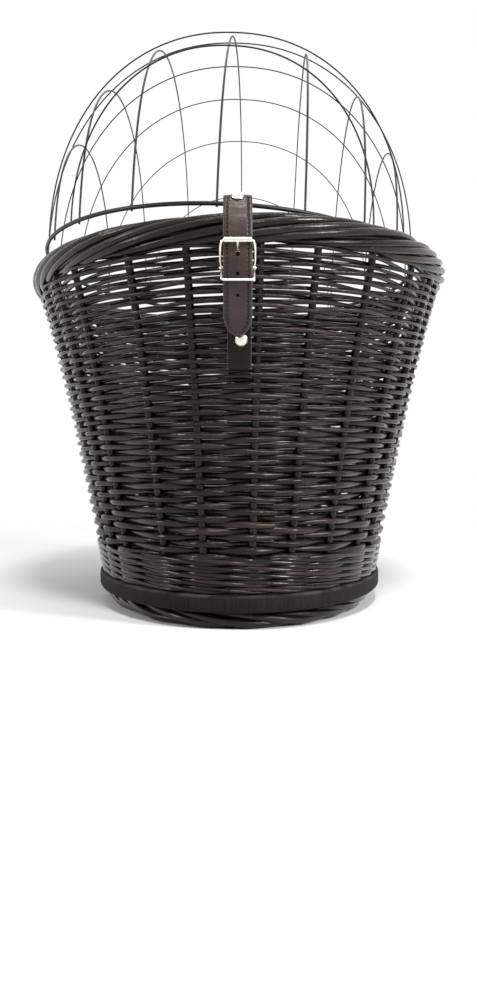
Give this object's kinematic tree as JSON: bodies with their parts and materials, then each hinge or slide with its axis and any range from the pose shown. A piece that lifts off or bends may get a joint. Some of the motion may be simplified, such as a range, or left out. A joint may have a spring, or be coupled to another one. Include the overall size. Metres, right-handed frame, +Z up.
{
  "type": "bicycle basket",
  "caption": "Oval willow basket for a bicycle's rear rack, with a hinged wire grille dome, a buckled leather strap and clamp plates under its board.",
  "frame": {"origin": "centre of the bounding box in plan, on the surface that the woven foot stands on", "axes": "+X right, +Y towards the front of the bicycle, away from the strap, +Z up"},
  "size_m": [0.35, 0.5616, 0.468],
  "materials": {
    "stained_willow": "glossy dark stain on peeled willow",
    "stained_board": "matt black stain on plywood",
    "coated_wire": "satin black coating",
    "strap_leather": "semi-gloss dark brown leather, stitched",
    "tab_leather": "matt black leather",
    "nickel": "polished nickel plate",
    "zinc_steel": "zinc-plated"
  },
  "bodies": {
    "basket": {"base_board": "stained_board", "foot_border": "stained_willow", "wale_band": "stained_willow", "close_weave_wall": "stained_willow", "open_weave_wall": "stained_willow", "rim_border": "stained_willow", "left_hinge_strap": "strap_leather", "right_hinge_strap": "strap_leather", "left_hinge_rivet": "nickel", "right_hinge_rivet": "nickel", "anchor_tab": "tab_leather", "tab_rivet": "nickel", "rear_left_washer": "zinc_steel", "rear_right_washer": "zinc_steel", "front_left_washer": "zinc_steel", "front_right_washer": "zinc_steel"},
    "grille": {"grille_base_loop": "coated_wire", "grille_hoop_1": "coated_wire", "grille_hoop_2": "coated_wire", "grille_hoop_3": "coated_wire", "grille_hoop_4": "coated_wire", "grille_hoop_5": "coated_wire", "grille_hoop_6": "coated_wire", "grille_hoop_7": "coated_wire", "grille_long_wire_centre": "coated_wire", "grille_long_wire_left_1": "coated_wire", "grille_long_wire_right_1": "coated_wire", "grille_long_wire_left_2": "coated_wire", "grille_long_wire_right_2": "coated_wire", "grille_long_wire_left_3": "coated_wire", "grille_long_wire_right_3": "coated_wire"},
    "strap": {"closing_strap": "strap_leather", "strap_rivet": "nickel"},
    "buckle": {"buckle_frame": "nickel"},
    "prong": {"buckle_prong": "nickel"},
    "roller": {"buckle_roller": "nickel"},
    "rear_clamp": {"rear_clamp_plate": "zinc_steel"},
    "rear_left_screw": {"rear_left_clamp_screw": "zinc_steel"},
    "rear_right_screw": {"rear_right_clamp_screw": "zinc_steel"},
    "front_clamp": {"front_clamp_plate": "zinc_steel"},
    "front_left_screw": {"front_left_clamp_screw": "zinc_steel"},
    "front_right_screw": {"front_right_clamp_screw": "zinc_steel"}
  },
  "joints": [
    {"name": "grille_hinge", "type": "hinge", "parent": "basket", "child": "grille", "pos_m": [0, 0.26383, 0.2801], "axis": [-0.999, 0.0279, 0.0349], "range_deg": [0, 110], "deforming": ["closing_strap"]},
    {"name": "strap_swing", "type": "hinge", "parent": "grille", "child": "strap", "pos_m": [-0.00109, -0.25791, 0.28014], "axis": [-1, 0, 0], "range_deg": [0, 100]},
    {"name": "buckle_swing", "type": "hinge", "parent": "basket", "child": "buckle", "pos_m": [-0.0011, -0.26538, 0.2384], "axis": [1, 0, 0], "range_deg": [0, 38]},
    {"name": "prong_lift", "type": "hinge", "parent": "buckle", "child": "prong", "pos_m": [-0.0011, -0.26538, 0.2384], "axis": [1, 0, 0], "range_deg": [0, 85]},
    {"name": "roller_spin", "type": "hinge", "parent": "buckle", "child": "roller", "pos_m": [-0.0011, -0.27685, 0.2539], "axis": [1, 0, 0], "continuous": true},
    {"name": "rear_left_screw_turn", "type": "hinge", "parent": "basket", "child": "rear_left_screw", "pos_m": [-0.045, -0.10573, 0.0003], "axis": [0, 0, -1], "range_deg": [0, 3492]},
    {"name": "rear_right_screw_turn", "type": "hinge", "parent": "basket", "child": "rear_right_screw", "pos_m": [0.045, -0.10573, 0.0003], "axis": [0, 0, -1], "range_deg": [0, 3492]},
    {"name": "rear_clamp_travel", "type": "slide", "parent": "basket", "child": "rear_clamp", "axis": [0, 0, 1], "range_m": [0, 0.0097]},
    {"name": "front_left_screw_turn", "type": "hinge", "parent": "basket", "child": "front_left_screw", "pos_m": [-0.045, 0.11427, 0.0003], "axis": [0, 0, -1], "range_deg": [0, 3492]},
    {"name": "front_right_screw_turn", "type": "hinge", "parent": "basket", "child": "front_right_screw", "pos_m": [0.045, 0.11427, 0.0003], "axis": [0, 0, -1], "range_deg": [0, 3492]},
    {"name": "front_clamp_travel", "type": "slide", "parent": "basket", "child": "front_clamp", "axis": [0, 0, 1], "range_m": [0, 0.0097]}
  ],
  "couplings": [
    {"joint": "rear_left_screw_turn", "follows": "rear_clamp_travel", "rad_per_m": 6283.2},
    {"joint": "rear_right_screw_turn", "follows": "rear_clamp_travel", "rad_per_m": 6283.2},
    {"joint": "front_left_screw_turn", "follows": "front_clamp_travel", "rad_per_m": 6283.2},
    {"joint": "front_right_screw_turn", "follows": "front_clamp_travel", "rad_per_m": 6283.2}
  ]
}
